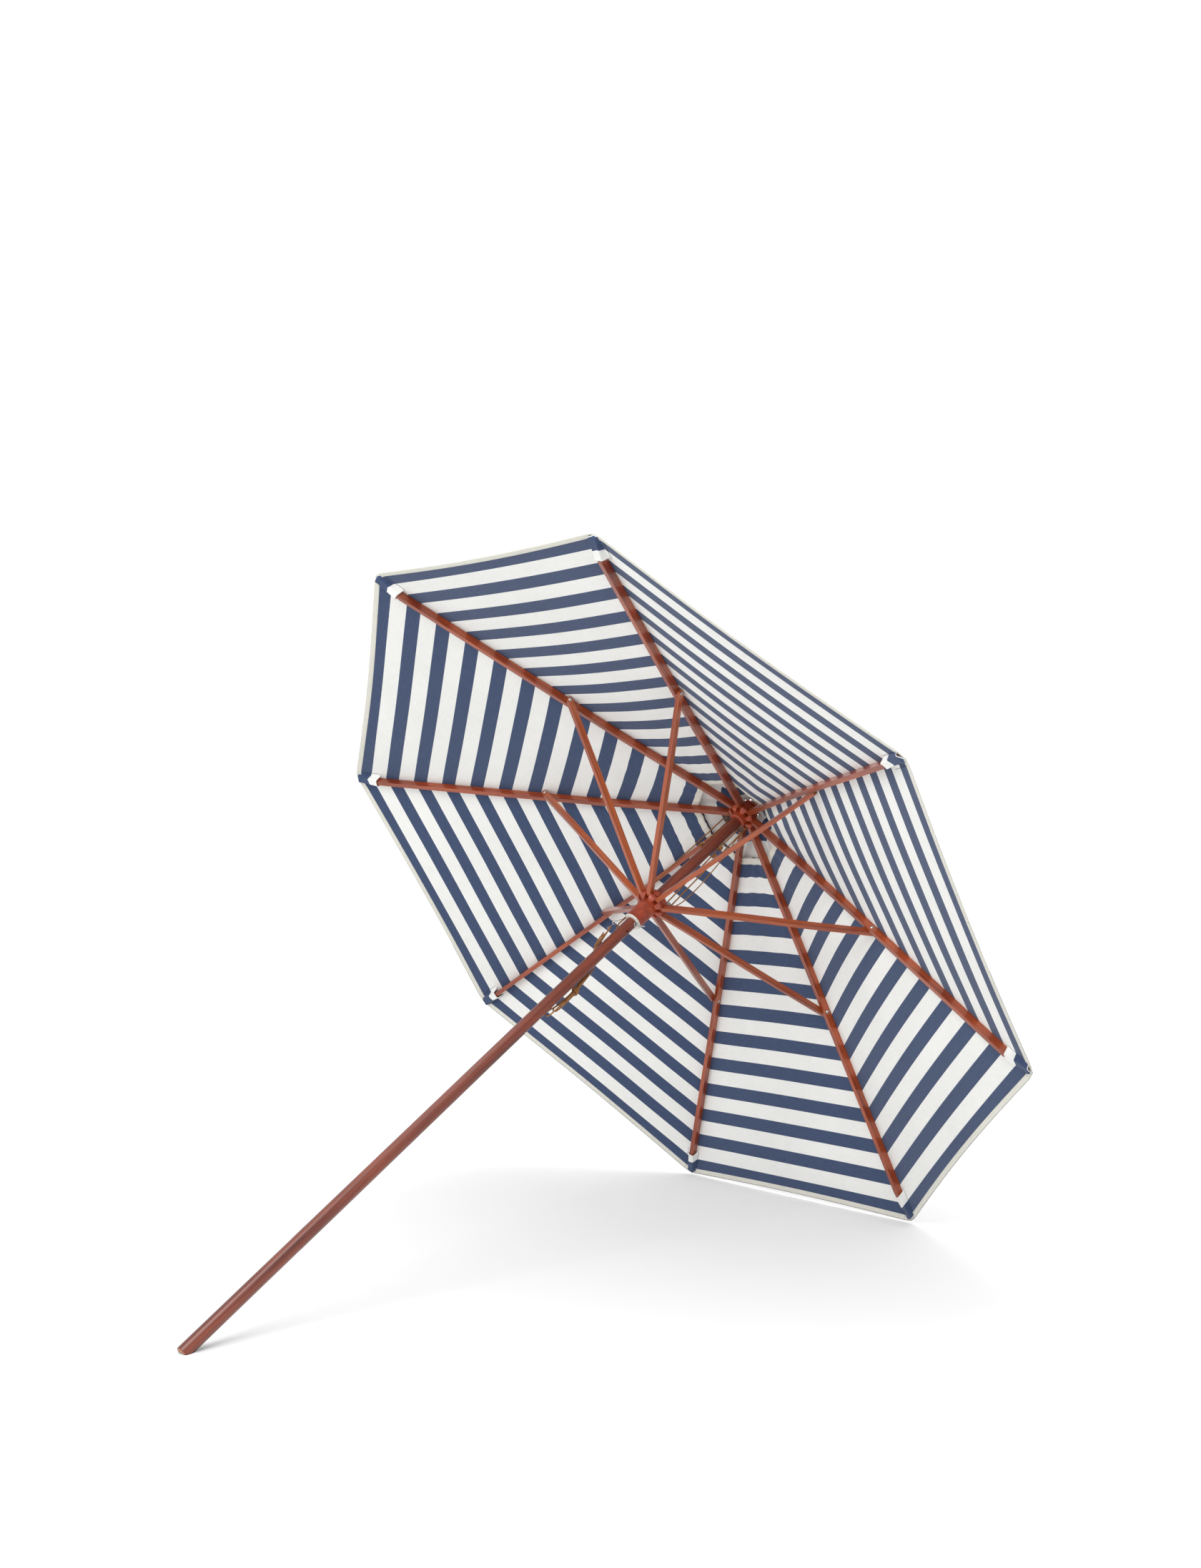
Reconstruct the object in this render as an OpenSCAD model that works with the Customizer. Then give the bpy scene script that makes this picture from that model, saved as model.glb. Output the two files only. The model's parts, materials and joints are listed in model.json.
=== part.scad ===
// Eight-sided wooden parasol: pole, two notched hubs, ribs, struts, cord tackle and striped canopy.
// Origin at the middle of the pole's foot, +Z up the pole. Drawn open.

/* [Canopy] */
// Across the canopy, corner to corner
canopy_d = 2700; // [2000:10:3200]
// Thickness that stands for the cloth
cloth_t = 2; // [1:0.5:4]
// Radius of the vent opening at the ribs
vent_r = 162; // [140:1:230]
// Radius of the vent cap's hem at the ribs
cap_r = 330; // [260:1:420]
// Height of the cap's middle above the ribs' pivots
cap_rise = 54; // [52:1:60]

/* [Pole] */
// Diameter of the pole
pole_d = 38; // [32:0.5:42]
// Height of the ribs' pivots above the foot
crown_z = 2466; // [2200:1:2700]
// Diameter of the cross-holes for the lock pin
pin_hole_d = 8; // [5:0.5:10]
// Distance between the cross-holes
pin_hole_pitch = 40; // [30:1:80]
// Number of cross-holes
pin_holes = 2; // [1:1:6]

/* [Ribs and struts] */
// Slope of the ribs below level when open
rib_slope = 22; // [18:0.5:26]
// Width of a rib
rib_w = 15; // [12:0.5:16]
// Depth of a rib
rib_h = 24; // [20:0.5:25]
// Width of a strut
strut_w = 14; // [10:0.5:15]
// Depth of a strut
strut_h = 20; // [16:0.5:20]
// Length of a strut, pivot to pivot, and of a rib from the crown to its strut
strut_len = 673; // [560:1:760]
// Diameter of the bolt that joins a strut to its rib
bolt_d = 5; // [4:0.5:7]
// Diameter of the bolt's domed heads
bolt_head_d = 12; // [10:0.5:14]

/* [Hubs] */
// Diameter over the petals of both hubs
petal_d = 100; // [98:1:110]
// Height of the petals
petal_h = 44; // [40:1:50]
// Radius of the ring that the ribs and strut feet turn about
pivot_r = 42; // [42:0.5:44]
// Diameter of the ring's wire
wire_d = 3; // [2:0.25:4]
// Diameter of the runner's barrel
barrel_d = 62; // [58:0.5:63]
// Length of the runner below its pivots
runner_drop = 98; // [80:1:130]

/* [Cord] */
// Diameter of the cord
cord_d = 4.5; // [3:0.25:5]
// Diameter of a pulley's wheel
sheave_d = 16; // [14:0.5:18]

/* [Hidden] */
$fn = 64;
RIBS = 8;
SECTOR = 360 / RIBS;
SIDES = [for (i = [1:RIBS]) i];
TAB = 0.3;                       // gap between pieces that move past each other
FIT = 0.05;                      // radial running clearance on a pin
RUN_FIT = 0.4;                   // radial clearance of the runner on the pole
pole_r = pole_d / 2;
tenon_r = pole_r - 3;            // turned-down top of the pole
petal_r = petal_d / 2;
bolt_r = bolt_d / 2;
wire_r = wire_d / 2;
bend_bulge = 0.4;                // how much thicker the ring's wire is at its bends
strut_drop = 2 * strut_len * sin(rib_slope);
runner_z = crown_z - strut_drop;
corner_r = canopy_d / 2;
pocket_l = 104;                  // how far the tip pockets reach in from the corners
tip_back = 26;                   // from a corner to the rib's end inside its pocket
rib_reach = (corner_r - tip_back - pivot_r) / cos(rib_slope);
rib_side = -(rib_w + TAB) / 2;   // a rib runs to one side of its spoke,
strut_side = (strut_w + TAB) / 2; // its strut to the other
tip_h = 8;                       // depth of a rib's thin end in its pocket
near = 190;                      // length beside the bolt where both run parallel
straight = 95;                   // length at the hubs where bars run straight in their slots
foot_grip = 400;                 // stretch of the pole that a base takes hold of,
grip_ease = 0.25;                // eased so that it slips in
slot_floor_r = pivot_r - rib_h / 2 - TAB;
hub_foot = 38;                   // crown hub below its pivots
hub_head = 46;                   // crown hub above its pivots
shoulder_z = crown_z - hub_foot;
boss_r = 24;
petal_low = -petal_h / 2;
petal_top = petal_h / 2;
washer_t = 4;
washer_z = runner_z - runner_drop - washer_t;
pulley_az = SECTOR * 2.5;        // pulleys stand midway between spokes
PULLEYS = [                      // hub height, outward place, angle, up or down
    [shoulder_z, 31, pulley_az, -1],
    [shoulder_z, 31, pulley_az + 180, -1],
    [runner_z + petal_top, 42, pulley_az, 1],
    [runner_z + petal_top, 36, pulley_az + 180, 1]];
pin_az = 72;                     // side the lock pin goes in from
pulley_stand = 14;               // from the hub's face to the wheel's axle
cheek_gap = 6.4;
cheek_t = 1.2;
cheek_w = 14;
axle_r = 1.5;

// Turns a spoke's parts to the azimuth of spoke i
module spoke(i) {
    rotate([0, 0, (i - 1) * SECTOR]) children();
}

// ---- Pole -------------------------------------------------------------

// A turned pole with a flat cut foot, a tenon for the crown hub, and cross-holes under the runner
module pole() {
    chamfer = 1.5;
    grip_r = pole_r - grip_ease;
    color("#7A3A2C") difference() {
        rotate_extrude() polygon([
            [0, 0], [grip_r - chamfer, 0], [grip_r, chamfer], [grip_r, foot_grip],
            [pole_r, foot_grip], [pole_r, shoulder_z],
            [tenon_r, shoulder_z], [tenon_r, crown_z + hub_head], [0, crown_z + hub_head]]);
        for (i = [0:pin_holes - 1])
            translate([0, 0, washer_z - 6 - pin_hole_pitch * i])
                rotate([0, 90, pin_az])
                    cylinder(d = pin_hole_d, h = 2 * pole_d, center = true);
    }
}

// A turned knob that holds the vent cap down on the hub
module finial() {
    base = crown_z + hub_head;
    color("#A8452F") translate([0, 0, base]) rotate_extrude() {
        difference() {
            polygon([[0, 0], [30, 0], [31, 1], [31, 5], [30, 6], [14, 9], [13, 20], [18, 24],
                     [18, 27], [14, 31], [0, 31]]);
        }
        difference() {
            translate([0, 50]) circle(r = 22);
            translate([-40, 0]) square([40, 90]);
            translate([-1, -1]) square([50, 31]);
        }
    }
}

// ---- Hubs -------------------------------------------------------------

// Rounded blocks between the slots; w is the slot's width and floor_r its depth
module petal_slots(w, floor_r, low, high) {
    for (i = SIDES)
        spoke(i) translate([floor_r, -w / 2, low]) cube([petal_r, w, high - low]);
}

// The groove that the ring of wire lies in
module wire_groove() {
    rotate_extrude() translate([pivot_r - wire_r, -wire_r]) square([petal_r, wire_d]);
}

// Half outline of the petals, with rounded rims
function petal_edge(floor_r) = [
    [floor_r, petal_low], [petal_r - 14, petal_low], [petal_r - 5, petal_low + 4],
    for (a = [-60:20:0]) [petal_r - 6 + 6 * cos(a), petal_low + 13 + 6 * sin(a)],
    for (a = [0:20:80]) [petal_r - 5 + 5 * cos(a), petal_top - 5 + 5 * sin(a)],
    [floor_r, petal_top]];

module crown_hub() {
    color("#A8452F") translate([0, 0, crown_z]) difference() {
        union() {
            rotate_extrude() polygon(concat(
                [[tenon_r, -hub_foot], [slot_floor_r - 3, -hub_foot],
                 [slot_floor_r, -hub_foot + 3]],
                petal_edge(slot_floor_r),
                [[boss_r + 2, petal_top + 6], [boss_r, hub_head], [tenon_r, hub_head]]));
        }
        petal_slots(rib_w + 2 * TAB, slot_floor_r, petal_low - 1, petal_top + 1);
        wire_groove();
    }
}

// An eight-sided ring of wire, with a straight run across each slot: the ribs' hinge pins
module crown_wire() {
    side = 2 * pivot_r * tan(SECTOR / 2);
    color("#4A4642") translate([0, 0, crown_z]) for (i = SIDES) spoke(i) {
        translate([pivot_r, 0, 0]) rotate([90, 0, 0]) cylinder(d = wire_d, h = side, center = true);
        translate([pivot_r, side / 2, 0]) sphere(d = wire_d + bend_bulge);
    }
}

// The sliding hub: petals for the strut feet, a neck, a barrel with a turned line, and a rim
module runner_hub() {
    barrel_r = barrel_d / 2;
    bore_r = pole_r + RUN_FIT;
    color("#A8452F") translate([0, 0, runner_z]) difference() {
        rotate_extrude() polygon(concat(
            [[bore_r, -runner_drop], [barrel_r - 1.5, -runner_drop],
             [barrel_r - 0.5, -runner_drop + 1], [barrel_r - 0.5, -64], [barrel_r - 1.5, -63],
             [barrel_r - 1.5, -62], [barrel_r, -61], [barrel_r, -40], [petal_r - 18, -34]],
            petal_edge(barrel_r),
            [[bore_r, petal_top]]));
        petal_slots(strut_w + 2 * TAB, barrel_r + 0.3, -40, petal_top + 1);
        wire_groove();
    }
}

// The runner's wire, kept where it lies in the petals' groove: each slot's own stretch is left out,
// because the strut feet leave the slots part-way down
module runner_wire() {
    side = 2 * pivot_r * tan(SECTOR / 2);
    reach = side / 2 - strut_w / 2 - 1;
    color("#4A4642") translate([0, 0, runner_z]) for (i = SIDES) spoke(i) {
        for (s = [-1, 1])
            translate([pivot_r, s * (side - reach) / 2, 0])
                rotate([90, 0, 0]) cylinder(d = wire_d, h = reach, center = true);
        translate([pivot_r, side / 2, 0]) sphere(d = wire_d + bend_bulge);
    }
}

module runner_washer() {
    color("#E4E2DC") translate([0, 0, washer_z]) rotate_extrude()
        translate([pole_r + RUN_FIT, 0]) square([barrel_d / 2 - 1 - pole_r - RUN_FIT, washer_t]);
}

// A pull pin parked in its eye under the washer, clear of the strut feet
module lock_pin() {
    wire = 1.3;
    eye_r = 6;
    pin_r = 2.2;
    pin_len = 44;
    drop = eye_r + wire + 1;
    color("#C8C6C0") rotate([0, 0, pin_az]) translate([pole_r + 4.5, 0, washer_z - drop]) {
        translate([0, 0, drop - 1.2]) cylinder(r = 2.5, h = 1.2);
        rotate([0, 90, 0]) rotate_extrude() translate([eye_r, 0]) circle(r = wire);
        translate([0, 0, -eye_r + wire + pin_r - 0.3]) rotate([0, 90, 0]) {
            translate([0, 0, -3]) cylinder(r = pin_r, h = pin_len);
            translate([0, 0, pin_len - 3]) sphere(r = pin_r);
        }
    }
}

// ---- Ribs, struts and bolts -----------------------------------------------

// Outline from above of a bar that starts on the spoke and bends gently to run beside it
function bar_plan(w, side, run) = [
    [0, -w / 2], [straight, -w / 2], [run[0], side - w / 2], [run[1], side - w / 2],
    [run[1], side + w / 2], [run[0], side + w / 2], [straight, w / 2], [0, w / 2]];

// A rib bends gently to one side, and its underside tapers where the tip pocket takes it
module rib(i) {
    bend = strut_len - near;
    taper_from = (corner_r - pocket_l - pivot_r) / cos(rib_slope);
    color("#A04A33") spoke(i) translate([pivot_r, 0, crown_z]) rotate([0, rib_slope, 0])
        difference() {
            union() {
                translate([0, 0, -rib_h / 2]) linear_extrude(rib_h)
                    polygon(bar_plan(rib_w, rib_side, [bend, rib_reach]));
                rotate([90, 0, 0]) cylinder(d = rib_h, h = rib_w, center = true);
            }
            rotate([90, 0, 0]) cylinder(r = wire_r + FIT, h = 3 * rib_w, center = true);
            translate([strut_len, 0, 0]) rotate([90, 0, 0])
                cylinder(r = bolt_r, h = 4 * rib_w, center = true);
            rotate([90, 0, 0]) linear_extrude(6 * rib_w, center = true)
                polygon([[taper_from, -rib_h / 2], [taper_from, -rib_h / 2 - 1],
                         [rib_reach + 1, -rib_h / 2 - 1], [rib_reach + 1, rib_h / 2 - tip_h]]);
        }
}

// Places a strut's own frame: its bolt at the origin, +X towards the runner
module at_strut(i) {
    spoke(i) translate([pivot_r, 0, crown_z]) rotate([0, rib_slope, 0])
        translate([strut_len, 0, 0]) rotate([0, 180 - 2 * rib_slope, 0]) children();
}

module strut(i) {
    plan = [[0, strut_side - strut_w / 2], [near, strut_side - strut_w / 2],
            [strut_len - straight, -strut_w / 2], [strut_len, -strut_w / 2],
            [strut_len, strut_w / 2], [strut_len - straight, strut_w / 2],
            [near, strut_side + strut_w / 2], [0, strut_side + strut_w / 2]];
    color("#A04A33") at_strut(i) difference() {
        union() {
            translate([0, 0, -strut_h / 2]) linear_extrude(strut_h) polygon(plan);
            translate([0, strut_side, 0]) rotate([90, 0, 0])
                cylinder(d = strut_h, h = strut_w, center = true);
            translate([strut_len, 0, 0]) rotate([90, 0, 0])
                cylinder(d = strut_h, h = strut_w, center = true);
        }
        rotate([90, 0, 0]) cylinder(r = bolt_r + FIT, h = 5 * rib_w, center = true);
    }
}

// A bolt through rib and strut, with two domed heads that have hexagon sockets
module bolt(i) {
    low = -rib_w - TAB / 2;
    high = strut_w + TAB / 2;
    head_h = 3;
    head_r = bolt_head_d / 2;
    dome_r = (head_r * head_r + head_h * head_h) / (2 * head_h);
    color("#C8C8C6") spoke(i) translate([pivot_r, 0, crown_z]) rotate([0, rib_slope, 0])
        translate([strut_len, 0, 0]) rotate([-90, 0, 0]) difference() {
            union() {
                translate([0, 0, low]) cylinder(r = bolt_r, h = high - low);
                for (s = [0, 1]) translate([0, 0, s ? high + TAB : low]) rotate([s ? 0 : 180, 0, 0])
                    intersection() {
                        cylinder(r = head_r, h = head_h);
                        translate([0, 0, head_h - dome_r]) sphere(r = dome_r);
                    }
                translate([0, 0, high]) cylinder(r = bolt_r, h = TAB);
            }
            for (s = [0, 1]) translate([0, 0, s ? high + TAB + 1 : low - 1])
                rotate([s ? 0 : 180, 0, 0]) cylinder(d = 4.6, h = head_h, $fn = 6);
        }
}

// ---- Pulleys ----------------------------------------------------------

// Places pulley k's own frame: its foot on the hub, +Z away from the hub, +X outward
module at_pulley(k) {
    p = PULLEYS[k - 1];
    rotate([0, 0, p[2]]) translate([p[1], 0, p[0]]) rotate([p[3] > 0 ? 0 : 180, 0, 0]) children();
}

// Foot plate, two cheeks with round ends, and the axle
module pulley(k) {
    inward = k > 2 ? cheek_w / 2 : 9;
    outward = k > 2 ? cheek_w / 2 : -2;
    color("#9A9A96") at_pulley(k) {
        translate([-inward, -cheek_gap / 2 - cheek_t, 0])
            cube([inward + outward, cheek_gap + 2 * cheek_t, 1.5]);
        for (s = [-1, 1]) translate([0, s * (cheek_gap + cheek_t) / 2, 0]) rotate([90, 0, 0])
            linear_extrude(cheek_t, center = true) {
                translate([0, pulley_stand]) circle(d = cheek_w);
                polygon([[-inward, 0], [outward, 0], [outward, 1.5], [cheek_w / 2, pulley_stand],
                         [-cheek_w / 2, pulley_stand], [-inward, 1.5]]);
            }
        translate([0, 0, pulley_stand]) rotate([90, 0, 0])
            cylinder(r = axle_r, h = cheek_gap + 2 * cheek_t + 1.6, center = true);
    }
}

module sheave(k) {
    r = sheave_d / 2;
    half = cheek_gap / 2 - TAB;
    color("#5A544E") at_pulley(k) translate([0, 0, pulley_stand]) rotate([90, 0, 0])
        rotate_extrude() polygon(concat(
            [[axle_r + FIT, -half], [r, -half]],
            [for (a = [-60:30:60]) [r - 2.2 * cos(a), 2.2 * sin(a)]],
            [[r, half], [axle_r + FIT, half]]));
}

// ---- Canopy -----------------------------------------------------------

// Height of the cloth's underside over a rib, at radius r
function rib_top(r) = crown_z - (r - pivot_r) * tan(rib_slope) + rib_h / 2 / cos(rib_slope)
    + TAB + rib_w * tan(SECTOR / 2) * tan(rib_slope);

// A strip of cloth over one rib, half a gore to each side. A point on the line between two
// ribs' equal radii has their height. The edges curve in by dip towards the gore's middle.
module cloth_strip(r_in, r_out, z_in, z_out, dip, t) {
    steps = 6;
    half = SECTOR / 2;
    gap = 0.3;                     // half the space between neighbouring strips
    us = [for (k = [-steps:steps]) k / steps];
    function reach(r, u) = r * cos(half) / cos(half - abs(u) * half) - dip * u * u;
    function spot(r, u, z) = let (q = reach(r, u), a = u * (half - asin(gap / q)))
        [q * cos(a), q * sin(a), z];
    n = len(us);
    ring_in = [for (u = us) spot(r_in, u, z_in)];
    ring_out = [for (u = us) spot(r_out, u, z_out)];
    up = [0, 0, t];
    pts = concat(ring_in, ring_out, [for (p = ring_in) p + up], [for (p = ring_out) p + up]);
    faces = concat(
        [for (k = [0:n - 2]) [k, k + 1, n + k + 1, n + k]],
        [for (k = [0:n - 2]) [2 * n + k, 3 * n + k, 3 * n + k + 1, 2 * n + k + 1]],
        [for (k = [0:n - 2]) [k + 1, k, 2 * n + k, 2 * n + k + 1]],
        [for (k = [0:n - 2]) [n + k, n + k + 1, 3 * n + k + 1, 3 * n + k]],
        [[0, n, 3 * n, 2 * n], [2 * n - 1, n - 1, 3 * n - 1, 4 * n - 1]]);
    polyhedron(pts, faces, convexity = 4);
}

module canopy(i) {
    color("#4A5F8A") spoke(i)
        cloth_strip(vent_r, corner_r, rib_top(vent_r), rib_top(corner_r), 6, cloth_t);
}

module vent_cap(i) {
    color("#F2F2EF") spoke(i)
        cloth_strip(34, cap_r, crown_z + cap_rise, rib_top(cap_r) + cloth_t + 3, 3, cloth_t);
}

// ---- Cord -------------------------------------------------------------

// A straight run of cord between two points
module straight(p, q) {
    v = q - p;
    translate(p) rotate([0, acos(v[2] / norm(v)), atan2(v[1], v[0])]) cylinder(d = cord_d, h = norm(v));
}

// A point at the azimuth az from the pole's middle
function polar(az, r, z) = [r * cos(az), r * sin(az), z];

// Height of pulley k's axle
function axle_z(k) = PULLEYS[k - 1][0] + PULLEYS[k - 1][3] * pulley_stand;

// A run beside both wheels of the pulleys on one side; s is 1 for their outer edges, -1 for the inner
module cord_run(k_top, k_low, s) {
    off = sheave_d / 2 + cord_d / 2 - 2;
    top = PULLEYS[k_top - 1];
    low = PULLEYS[k_low - 1];
    color("#B87840") straight(polar(low[2], low[1] + s * off, axle_z(k_low)),
                              polar(top[2], top[1] + s * off, axle_z(k_top)));
}

// Route of the free tail below the washer: azimuth, distance from the axis, drop below the washer
TAIL = [[292, 25, 0], [292, 25.2, 10], [289, 26.5, 20], [279, 27.5, 34], [258, 26.2, 50],
        [232, 25.8, 66], [204, 25.8, 82], [194, 26, 110]];

// A round tube through the points; each ring stands square to the route
module tube(pts, d, sides) {
    n = len(pts);
    function lie(k) = let (v = pts[min(k + 1, n - 1)] - pts[max(k - 1, 0)]) v / norm(v);
    function ring(k) = let (
        t = k == 0 ? [0, 0, -1] : lie(k),
        a = cross(t, [1, 0, 0.2]),
        u = a / norm(a),
        w = cross(t, u))
        [for (j = [0:sides - 1]) pts[k] + d / 2 * (cos(360 * j / sides) * u + sin(360 * j / sides) * w)];
    polyhedron(
        [for (k = [0:n - 1]) each ring(k)],
        concat(
            [[for (j = [0:sides - 1]) j]],
            [for (k = [0:n - 2]) for (j = [0:sides - 1]) let (m = (j + 1) % sides)
                [k * sides + j, (k + 1) * sides + j, (k + 1) * sides + m, k * sides + m]],
            [[for (j = [sides - 1:-1:0]) (n - 1) * sides + j]]),
        convexity = 6);
}

// Route of the slack strand from the crown to the runner: azimuth, distance from the axis, share of
// the drop between the hubs' pivots
SLACK = [[106, 44.5, 0.13], [106, 45, 0.2], [105, 56, 0.32], [104, 68, 0.54], [103, 74, 0.71],
         [104, 72, 0.85], [108, 62, 0.92], [112, 54, 0.975]];
slack_d = 0.8 * cord_d;

// Points of a smooth line through the points p, n to each stretch
function between(a, b, c, d, t) = (2 * b + (c - a) * t + (2 * a - 5 * b + 4 * c - d) * t ^ 2
    + (3 * b - a - 3 * c + d) * t ^ 3) / 2;
function smooth(p, n) = let (
    last = len(p) - 1,
    e = concat([2 * p[0] - p[1]], p, [2 * p[last] - p[last - 1]]))
    [for (k = [0:last - 1]) for (j = [0:n - 1]) between(e[k], e[k + 1], e[k + 2], e[k + 3], j / n),
     p[last]];

module slack_strand() {
    color("#B87840")
        tube(smooth([for (p = SLACK) polar(p[0], p[1], crown_z - p[2] * strut_drop)], 6), slack_d, 8);
}

module cord_tail() {
    color("#B87840") tube([for (p = TAIL) polar(p[0], p[1], washer_z - p[2])], cord_d, 8);
}

// The folded hank that hangs along the pole: a flat outline with round ends
hank_len = 342;
hank_w = 26;
hank_t = 12;
module cord_hank() {
    color("#B87840") rotate([0, 0, 162]) translate([pole_r + 2.5, 0, washer_z - 98 - cord_d / 2])
        rotate([90, 0, 90]) linear_extrude(hank_t) {
            translate([0, -hank_w / 2]) circle(d = hank_w);
            translate([0, -hank_len + hank_w / 2]) circle(d = hank_w);
            translate([-hank_w / 2, -hank_len + hank_w / 2]) square([hank_w, hank_len - hank_w]);
        }
}

pole();
finial();
crown_hub();
crown_wire();
runner_hub();
runner_wire();
runner_washer();
lock_pin();
for (i = SIDES) {
    rib(i);
    strut(i);
    bolt(i);
    canopy(i);
    vent_cap(i);
}
for (k = [1:4]) {
    pulley(k);
    sheave(k);
}
cord_run(2, 4, 1);  // cord_run_1
union() {  // cord_run_2
    for (s = [-1, 1]) cord_run(1, 3, s);
    slack_strand();
}
cord_tail();
cord_hank();
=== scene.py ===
import json
import math
import random

import bpy
import numpy as np
from mathutils import Matrix, Vector


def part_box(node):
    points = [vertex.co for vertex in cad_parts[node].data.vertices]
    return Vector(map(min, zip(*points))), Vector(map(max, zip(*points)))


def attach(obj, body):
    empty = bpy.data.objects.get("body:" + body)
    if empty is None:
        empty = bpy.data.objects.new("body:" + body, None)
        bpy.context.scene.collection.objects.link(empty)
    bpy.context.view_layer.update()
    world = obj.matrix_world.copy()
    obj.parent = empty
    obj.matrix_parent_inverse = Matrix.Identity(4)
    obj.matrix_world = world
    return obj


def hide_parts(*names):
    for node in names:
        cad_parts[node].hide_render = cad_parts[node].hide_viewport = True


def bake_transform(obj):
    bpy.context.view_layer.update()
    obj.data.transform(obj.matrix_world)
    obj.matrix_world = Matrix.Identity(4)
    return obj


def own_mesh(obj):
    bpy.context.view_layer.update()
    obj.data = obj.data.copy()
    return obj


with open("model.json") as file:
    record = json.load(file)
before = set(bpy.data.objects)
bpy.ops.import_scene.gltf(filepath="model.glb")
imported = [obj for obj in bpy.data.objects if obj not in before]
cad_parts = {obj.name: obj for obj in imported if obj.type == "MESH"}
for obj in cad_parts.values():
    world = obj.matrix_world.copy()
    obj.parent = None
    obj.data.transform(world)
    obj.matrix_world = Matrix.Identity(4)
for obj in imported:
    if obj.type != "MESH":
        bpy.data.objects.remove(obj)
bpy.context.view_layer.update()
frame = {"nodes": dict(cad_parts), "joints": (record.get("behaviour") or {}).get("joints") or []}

# ---- Places taken from the frame ----
# The hinges give the umbrella's skeleton: everything soft is laid out from these few points.
joints = {j["name"]: j for j in frame["joints"]}
RIBS = range(1, 9)
SECTOR = math.radians(45)
rib_hinge = Vector(joints["rib_1_hinge"]["pos_m"])
bolt_at = Vector(joints["strut_1_hinge"]["pos_m"])
crown_z = rib_hinge.z
pivot_r = rib_hinge.x
slope = math.atan2(crown_z - bolt_at.z, bolt_at.x - pivot_r)
corner_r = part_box("canopy_1")[1].x
PETAL_HALF_H = 0.022                    # the runner's pivots are this far under its top face
runner_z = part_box("runner_hub")[1].z - PETAL_HALF_H
washer_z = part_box("runner_washer")[0].z


# ---- Camera ----
# A level view from about eye height, while the parasol leans on its foot and two corners.
RIGHT = Vector((-0.11146, 0.78584, 0.60830))
DOWN = Vector((-0.75314, 0.33256, -0.56761))
AHEAD = Vector((-0.64835, -0.52140, 0.55478))
camera_data = bpy.data.cameras.new("camera")
camera = bpy.data.objects.new("camera", camera_data)
bpy.context.collection.objects.link(camera)
camera.matrix_world = Matrix.Translation((3.5391, 2.7030, -0.9024)) @ Matrix(
    (RIGHT, -DOWN, -AHEAD)).transposed().to_4x4()
camera_data.sensor_width = 36.0
camera_data.lens = 38.04
camera_data.shift_x = -0.030
camera_data.shift_y = 0.048
bpy.context.scene.camera = camera


# ---- Cord ----
# Tan braided cord of about 4.5 mm. It runs between the pulleys, and its free end is folded
# into a hank that is tied up along the back of the pole. It is made first, with the small
# functions that every later piece uses as well.
CORD_D = 0.0045
SLACK_D = 0.8 * CORD_D


def linear(code):
    """The linear colour of an sRGB hex code."""
    parts = [int(code[k:k + 2], 16) / 255 for k in (1, 3, 5)]
    return [p / 12.92 if p <= 0.04045 else ((p + 0.055) / 1.055) ** 2.4 for p in parts] + [1.0]


def add(tree, kind, inputs=None, **settings):
    """Adds a shader node. An input is a value, or an output socket to link from."""
    made = tree.nodes.new(kind)
    for name, value in settings.items():
        setattr(made, name, value)
    for key, value in (inputs or {}).items():
        if isinstance(value, bpy.types.NodeSocket):
            tree.links.new(value, made.inputs[key])
        else:
            made.inputs[key].default_value = value
    return made


def new_material(name):
    """An empty node material with its shader, ready for colour and bump."""
    material = bpy.data.materials.new(name)
    material.use_nodes = True
    tree = material.node_tree
    return material, tree, tree.nodes["Principled BSDF"]


def ramp(tree, factor, stops):
    """A colour ramp fed by a factor; stops are (place, colour)."""
    made = add(tree, "ShaderNodeValToRGB", {"Fac": factor})
    elements = made.color_ramp.elements
    while len(elements) < len(stops):
        elements.new(0.5)
    for element, (place, colour) in zip(elements, stops):
        element.position, element.color = place, colour
    return made.outputs["Color"]


def bump(tree, height, distance, strength, under=None):
    """A bump of so many metres, laid over another bump if one is given."""
    inputs = {"Height": height, "Distance": distance, "Strength": strength}
    if under is not None:
        inputs["Normal"] = under
    return add(tree, "ShaderNodeBump", inputs).outputs["Normal"]


def mesh_piece(name, points, faces, uvs=None, smooth=True, walls=0):
    """A mesh object from points and faces; uvs gives one place in the piece's map per point.

    The last faces, as many as walls says, are flat: the thin cut edges of a sheet."""
    mesh = bpy.data.meshes.new(name)
    mesh.from_pydata([tuple(p) for p in points], [], faces)
    if uvs is not None:
        layer = mesh.uv_layers.new(name="cloth")
        places = np.array(uvs, float)[[v for f in faces for v in f]]
        layer.data.foreach_set("uv", places.astype(np.float32).ravel())
    mesh.polygons.foreach_set("use_smooth", [smooth] * (len(faces) - walls) + [False] * walls)
    mesh.validate()
    made = bpy.data.objects.new(name, mesh)
    bpy.context.collection.objects.link(made)
    return made


def dress(piece, material):
    """Gives a piece one material."""
    piece.data.materials.clear()
    piece.data.materials.append(material)
    return piece


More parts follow.
